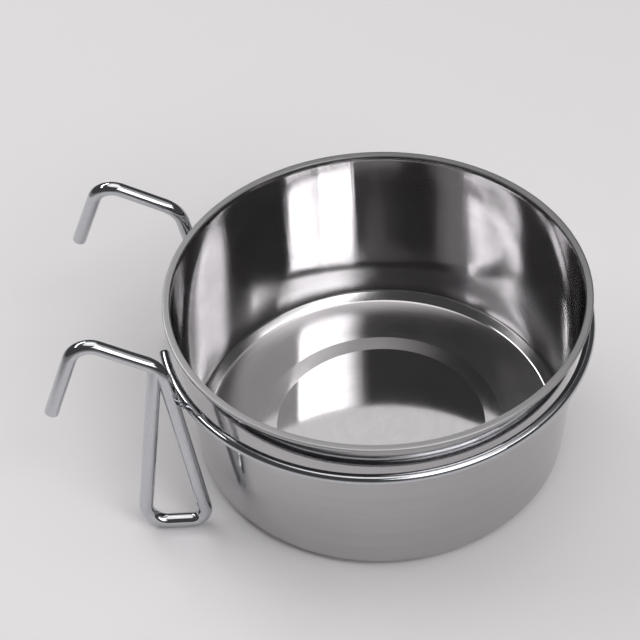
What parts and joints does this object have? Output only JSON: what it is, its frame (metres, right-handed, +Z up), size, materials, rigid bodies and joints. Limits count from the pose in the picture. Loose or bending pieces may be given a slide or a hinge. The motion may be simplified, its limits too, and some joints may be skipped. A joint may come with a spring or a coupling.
{
  "type": "hanging feeding bowl",
  "caption": "Round steel feeding cup with a rolled rim, standing in an open wire ring with bent wire hooks for hanging it on a cage and loops to stand on.",
  "frame": {"origin": "on the table, in the middle of the object's bounding box seen from above", "axes": "+Z up along the cup's axis, +X from the hooks towards the far side of the cup, +Y towards the rear hook"},
  "size_m": [0.1516, 0.1234, 0.069],
  "materials": {
    "cup_steel": "deep-drawn stainless sheet, polished with fine brushing round the axis",
    "ring_wire": "bright plated round wire",
    "hook_wire": "bright plated round wire with square-cut tips",
    "weld": "plated weld metal, smooth and slightly lumpy"
  },
  "bodies": {
    "holder": {"support_ring": "ring_wire", "hook_wire_front": "hook_wire", "hook_wire_rear": "hook_wire", "ring_weld_front": "weld", "ring_weld_rear": "weld"},
    "cup": {"cup": "cup_steel"}
  },
  "joints": [
    {"name": "cup_lift", "type": "slide", "parent": "holder", "child": "cup", "axis": [0, 0, 1], "range_m": [-0.0068, 0.075]}
  ]
}
